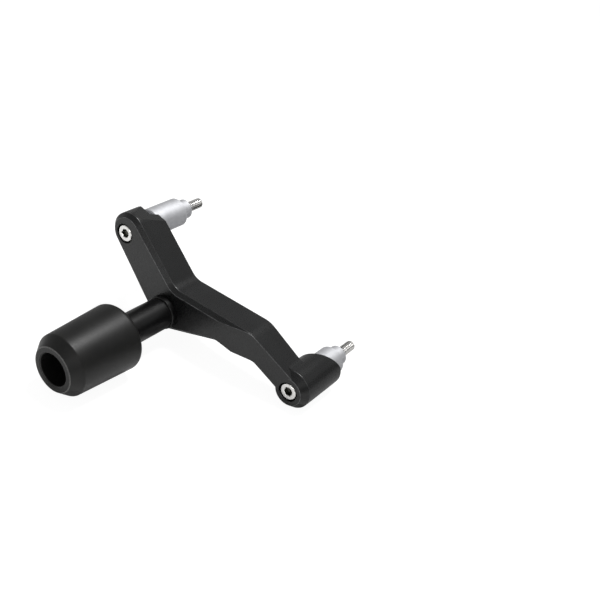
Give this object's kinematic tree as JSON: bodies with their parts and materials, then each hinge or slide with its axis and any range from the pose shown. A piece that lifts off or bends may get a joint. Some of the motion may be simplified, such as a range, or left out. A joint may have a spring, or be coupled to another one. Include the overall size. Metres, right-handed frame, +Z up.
{
  "type": "motorcycle frame slider",
  "caption": "Bolt-on crash protector: a black puck on a turned stem, carried by a two-armed machined bracket with long bolts and spacers.",
  "frame": {"origin": "on the upper bolt's axis, at the face where the upper spacer seats on the motorcycle", "axes": "+Y along the bolts towards the motorcycle, +Z up, +X from the upper bolt towards the lower bolt"},
  "size_m": [0.1705, 0.1949, 0.1195],
  "materials": {
    "black_anodised": "satin",
    "black_turned": "satin",
    "black_plastic": "matte",
    "stainless": "brushed",
    "silver_aluminium": "satin",
    "plated_steel": "satin"
  },
  "bodies": {
    "root": {"bracket": "black_anodised", "stem": "black_turned", "puck": "black_plastic", "puck_bolt": "plated_steel", "puck_washer": "plated_steel", "upper_bolt": "stainless", "lower_bolt": "stainless", "upper_spacer": "silver_aluminium", "lower_spacer": "silver_aluminium"}
  },
  "joints": []
}
